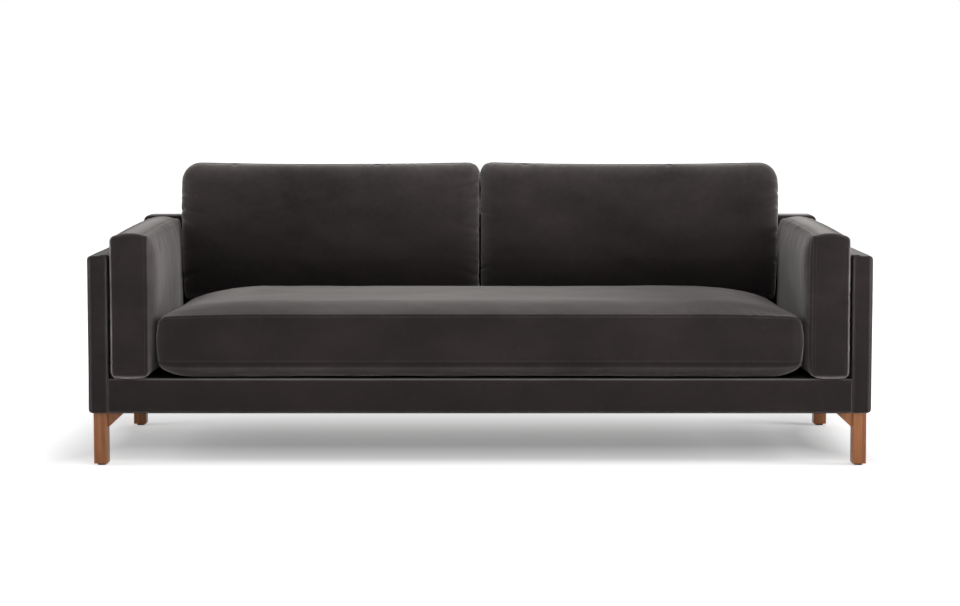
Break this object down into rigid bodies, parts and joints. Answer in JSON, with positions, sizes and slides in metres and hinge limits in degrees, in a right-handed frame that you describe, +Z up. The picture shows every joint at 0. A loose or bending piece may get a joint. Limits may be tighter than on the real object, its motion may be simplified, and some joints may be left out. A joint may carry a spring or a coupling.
{
  "type": "tuxedo sofa",
  "caption": "Long straight-armed sofa in dark velvet: a slim padded frame with a bench seat cushion, loose back and arm cushions, and square wooden legs with braces.",
  "frame": {"origin": "middle of the footprint, on the floor", "axes": "+X to the viewer's right along the seat, +Z up, the front faces -Y"},
  "size_m": [2.286, 0.9394, 0.8595],
  "materials": {
    "velvet": "matte",
    "cushion_velvet": "matte",
    "leg_wood": "satin",
    "frame_timber": "matte",
    "foam": "matte",
    "felt": "matte",
    "decking": "matte",
    "cambric": "matte",
    "webbing": "matte",
    "spring_steel": "satin",
    "glide_plastic": "matte",
    "zip_tape": "matte",
    "zip_metal": "satin"
  },
  "bodies": {
    "frame": {"front_rail": "frame_timber", "rear_rail": "frame_timber", "cross_rails": "frame_timber", "corner_blocks": "frame_timber", "back_frame": "frame_timber", "back_webbing": "webbing", "seat_springs": "spring_steel", "spring_clips": "spring_steel", "spring_ties": "spring_steel", "seat_felt": "felt", "deck_cloth": "decking", "dust_cover": "cambric", "front_rail_cover": "velvet", "back_cover": "velvet", "frame_bolts": "spring_steel", "leg_bolts": "spring_steel", "glides": "glide_plastic", "arm_panel_left": "velvet", "arm_panel_right": "velvet", "arm_frame_left": "frame_timber", "arm_frame_right": "frame_timber", "side_rail_left": "frame_timber", "side_rail_right": "frame_timber", "leg_front_left": "leg_wood", "leg_brace_front_left": "leg_wood", "leg_front_right": "leg_wood", "leg_brace_front_right": "leg_wood", "leg_rear_left": "leg_wood", "leg_brace_rear_left": "leg_wood", "leg_rear_right": "leg_wood", "leg_brace_rear_right": "leg_wood"},
    "seat_cushion": {"seat_cushion_cover": "cushion_velvet", "seat_cushion_core": "foam", "seat_cushion_zip": "zip_tape"},
    "seat_zip_slider": {"seat_cushion_zip_slider": "zip_metal"},
    "back_cushion_left": {"back_cushion_cover_left": "cushion_velvet", "back_cushion_fill_left": "foam", "back_cushion_zip_left": "zip_tape"},
    "back_zip_slider_left": {"back_cushion_zip_slider_left": "zip_metal"},
    "arm_cushion_left": {"arm_cushion_cover_left": "cushion_velvet", "arm_cushion_core_left": "foam", "arm_cushion_zip_left": "zip_tape"},
    "arm_zip_slider_left": {"arm_cushion_zip_slider_left": "zip_metal"},
    "back_cushion_right": {"back_cushion_cover_right": "cushion_velvet", "back_cushion_fill_right": "foam", "back_cushion_zip_right": "zip_tape"},
    "back_zip_slider_right": {"back_cushion_zip_slider_right": "zip_metal"},
    "arm_cushion_right": {"arm_cushion_cover_right": "cushion_velvet", "arm_cushion_core_right": "foam", "arm_cushion_zip_right": "zip_tape"},
    "arm_zip_slider_right": {"arm_cushion_zip_slider_right": "zip_metal"}
  },
  "joints": [
    {"name": "seat_cushion_slide", "type": "slide", "parent": "frame", "child": "seat_cushion", "axis": [0, -1, 0], "range_m": [0, 0.6]},
    {"name": "seat_zip_slide", "type": "slide", "parent": "seat_cushion", "child": "seat_zip_slider", "axis": [1, 0, 0], "range_m": [0, 1.68]},
    {"name": "back_cushion_left_lift", "type": "slide", "parent": "frame", "child": "back_cushion_left", "axis": [0, 0.0872, 0.9962], "range_m": [0, 0.35]},
    {"name": "back_zip_left_slide", "type": "slide", "parent": "back_cushion_left", "child": "back_zip_slider_left", "axis": [-1, 0, 0], "range_m": [0, 0.72]},
    {"name": "arm_cushion_left_lift", "type": "slide", "parent": "frame", "child": "arm_cushion_left", "axis": [0, 0, 1], "range_m": [0, 0.45]},
    {"name": "arm_zip_left_slide", "type": "slide", "parent": "arm_cushion_left", "child": "arm_zip_slider_left", "axis": [0, 1, 0], "range_m": [0, 0.56]},
    {"name": "back_cushion_right_lift", "type": "slide", "parent": "frame", "child": "back_cushion_right", "axis": [0, 0.0872, 0.9962], "range_m": [0, 0.35]},
    {"name": "back_zip_right_slide", "type": "slide", "parent": "back_cushion_right", "child": "back_zip_slider_right", "axis": [1, 0, 0], "range_m": [0, 0.72]},
    {"name": "arm_cushion_right_lift", "type": "slide", "parent": "frame", "child": "arm_cushion_right", "axis": [0, 0, 1], "range_m": [0, 0.45]},
    {"name": "arm_zip_right_slide", "type": "slide", "parent": "arm_cushion_right", "child": "arm_zip_slider_right", "axis": [0, 1, 0], "range_m": [0, 0.56]}
  ]
}
